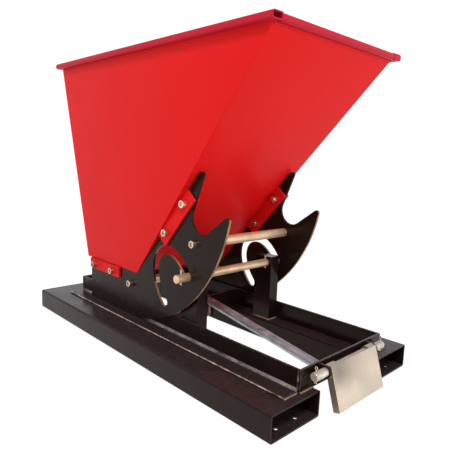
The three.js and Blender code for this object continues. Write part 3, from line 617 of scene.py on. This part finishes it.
def red_enamel(name, deep, bright, rough):
    """Signal-red enamel, sprayed: even colour, slight orange peel, and a pale pink film where it faces up, dust
    together with a painted sheen of the sky. Real orange peel is 2 mm wide; it is drawn 6 mm wide so that it shows."""
    paint, tree, shader, coordinates = new_paint(name)
    place = coordinates["Object"]
    colour = blend(tree, clouds(tree, place, 3.2, 4.0), linear(deep), linear(bright))
    speckle = clouds(tree, place, 55.0, 6.0, 0.7)
    # Where it faces up the red goes pale pink: dust, and a painted sheen of the sky.
    dust_and_sheen = facing_up(tree, coordinates["Normal"], 0.4, 0.22, speckle)
    tree.links.new(blend(tree, dust_and_sheen, colour, linear("#c98a86")), shader.inputs["Base Color"])
    tree.links.new(remap(tree, speckle, (0.3, 0.7), (rough - 0.04, rough + 0.06)), shader.inputs["Roughness"])
    shader.inputs["Specular IOR Level"].default_value = 0.06
    shader.inputs["Coat Weight"].default_value = 0.03
    shader.inputs["Coat Roughness"].default_value = 0.12
    add_relief(tree, shader, clouds(tree, place, 160.0, 2.0, 0.4), 0.12, 0.5)
    return paint


hopper_red = red_enamel("signal_red_enamel", "#c91213", "#d31516", 0.4)


LONG_EDGE = 0.05  # the sheet's own outline, without the short edges of its thickness


def belly(shape, depth):
    """Divides a flat sheet into a grid and lets it belly by up to depth mm between its edges."""
    way = max(shape.faces, key=lambda f: f.calc_area()).normal.copy()
    outline = [e for e in shape.edges if e.calc_length() > LONG_EDGE]
    rims = [(e.verts[0].co.copy(), e.verts[1].co.copy()) for e in outline]
    bmesh.ops.subdivide_edges(shape, edges=outline, cuts=26, use_grid_fill=True)
    for vert in shape.verts:
        near = 1.0
        for start, end in rims:
            run = end - start
            t = max(0.0, min(1.0, (vert.co - start).dot(run) / run.length_squared))
            near = min(near, (vert.co - start - run * t).length)
        fade = min(1.0, max(0.0, near - 0.004) / 0.12)
        wander = 0.6 * noise.noise(vert.co * 3.1) + 0.4 * noise.noise(vert.co * 7.3)
        vert.co += way * depth * MM * fade * wander


BELLIES = {
    "side_panel_right": 2.2, "side_panel_left": 2.2, "rear_panel": 1.5, "front_panel": 0.7, "floor_panel": 0.8,
}
for node, depth in BELLIES.items():
    shape = copy_solid(node)
    belly(shape, depth)
    finish_piece(f"{node}_sheet", shape, "hopper", [hopper_red], [node], edge=0.9, steep=40)

# each corner's place at the floor and at the rim: x and y, then how far inside the seam lies in x
CORNERS = (((188, 222), (104, 286), 5), ((554, 222), (1213, 286), -6))
SEAM_Y, SEAM_LOW, SEAM_HIGH = 5, 253, 998
for side, sign in SIDES.items():
    seams = []
    for (x_low, y_low), (x_high, y_high), inward in CORNERS:
        seams.append((at(x_low + inward, sign * (y_low - SEAM_Y), SEAM_LOW),
                      at(x_high + inward, sign * (y_high - SEAM_Y), SEAM_HIGH)))
    seams.append((at(194, sign * 217, 252.5), at(548, sign * 217, 252.5)))
    weld(f"corner_seams_{side}", seams, 3.0, "hopper", hopper_red)
floor_seams = [(at(x, -214, 252.5), at(x, 214, 252.5)) for x in (193.5, 549.5)]
weld("floor_seams", floor_seams, 3.0, "hopper", hopper_red)

# ---------- rim ----------
# 40 x 20 mm tube laid flat round the mouth, in a darker, more purple red than the walls: painted shade. The side
# tubes run the full length, the left one with a cap on its front end, the front and rear tubes stand between
# them, and beads join them all.

# A darker, purple copy of the walls' red: painted shade on the rim.
rim_red_painted_shade = red_enamel("signal_red_enamel_painted_shade", "#a5182a", "#bc1e30", 0.34)
for node in ("rim_right", "rim_left", "rim_rear", "rim_front"):
    finish_piece(f"{node}_tube", copy_solid(node), "hopper", [rim_red_painted_shade], [node], edge=0.6, steep=50)

low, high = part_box("rim_left")
shape = bmesh.new()
bmesh.ops.create_cube(shape, size=1.0)
cap_size = Vector((3 * MM, high.y - low.y - 2 * MM, high.z - low.z - 2 * MM))
cap_centre = Vector((high.x - 0.5 * MM, (low.y + high.y) / 2, (low.z + high.z) / 2))
for vert in shape.verts:
    vert.co = vert.co * cap_size + cap_centre
round_some(shape, lambda a, b: abs(a.x - b.x) > MM, 7, 6)
finish_piece("rim_end_cap_left", shape, "hopper", [rim_red_painted_shade], edge=1.2, steep=50)

RIM_FOOT = 1000.2
for side, sign in SIDES.items():
    weld(f"rim_weld_{side}", [(at(110, sign * 287, RIM_FOOT), at(1214, sign * 287, RIM_FOOT))], 3.0,
         "hopper", hopper_red)
    corners = [(at(x, sign * 272, 1021), at(x + 38, sign * 272, 1021)) for x in (101, 1195)]
    weld(f"rim_corner_weld_{side}", corners, 1.6, "hopper", hopper_red)
for end, x, size in (("front", 1213.5, 3.0), ("rear", 104, 2.4)):
    weld(f"rim_weld_{end}", [(at(x, -282, RIM_FOOT), at(x, 282, RIM_FOOT))], size, "hopper", hopper_red)

# ---------- bolting tabs and screws ----------
# Flat bars of 8 mm welded to the front wall and the floor, one on each face of a rocker plate, held through
# it by M16 socket-head screws in zinc plate with hexagon nuts inside.

screw_zinc = bare_steel("zinc_plated_screw", "#b3a289", "#f3e6cf", 0.33, (160, 160, 160))

for side in SIDES:
    for end in ("front_outer", "rear_outer", "front_inner", "rear_inner"):
        node = f"tab_{end}_{side}"
        finish_piece(f"{node}_bar", copy_solid(node), "hopper", [hopper_red], [node], edge=1.0)
    tab_screws = [f"tab_bolt_{where}_{side}" for where in ("front_low", "front_high", "rear_low", "rear_high")]
    for node in tab_screws + [f"tie_bolt_{where}_{side}" for where in ("upper", "lower")]:
        finish_piece(f"{node}_screw", copy_solid(node), "hopper", [screw_zinc], [node],
                     edge=1.1, steep=40)

# ---------- rocker plates ----------
# 8 mm plate cut to shape with a torch and painted black. The cut edges keep the fine upright lines of the
# flame. Where the plates roll on the rails the edges are bare and tan; the slot walls, rubbed by the shaft,
# are tan as well, rub marks together with a painted highlight on their lit faces.

cut_edge_worn_and_highlit = bare_steel("flame_cut_edge_worn_and_painted_highlight", "#5d4431", "#c29a72", 0.5, (700, 30, 700), metallic=0.65)

ROLL_CENTRE = (519, 602)
ROLL_RADIUS = 0.5194
for side in SIDES:
    node = f"rocker_plate_{side}"
    shape = copy_solid(node)
    for face in shape.faces:
        middle = face.calc_center_median() - at(ROLL_CENTRE[0], 0, ROLL_CENTRE[1])
        reach = math.hypot(middle.x, middle.z)
        rolling = abs(reach - ROLL_RADIUS) < 0.004
        in_slot = middle.x > 0.15 and middle.z < -0.2 and reach < 0.49
        # Rolling edge: bare wear. Slot walls: rub marks together with a painted highlight.
        if abs(face.normal.y) < 0.5 and (rolling or in_slot):
            face.material_index = 1
    finish_piece(f"{node}_plate", shape, "hopper", [chassis_black, cut_edge_worn_and_highlit], [node],
                 edge=0.7, edge_paint=-1, steep=40)

# ---------- tie bars ----------
# Two 32 mm bars drawn tight between the rocker plates by a screw at each end.

for name, x, z in (("upper", 877, 408), ("lower", 520, 203)):
    node = f"tie_bar_{name}"
    finish_piece(f"{node}_bar", turned_bar(x, z, 213.7, 16, (1, 1)), "hopper", [drawn_bar], [node],
                 edge=0, steep=30)

# ---------- brace inside the hopper ----------
# A 34 mm round tube between the side walls, painted with them.

brace_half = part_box("hopper_brace")[1].y / MM
finish_piece("hopper_brace_tube", turned_bar(*ROLL_CENTRE, brace_half, 17, (0.5, 0.5)), "carriage",
             [hopper_red], ["hopper_brace"], edge=0, steep=30)
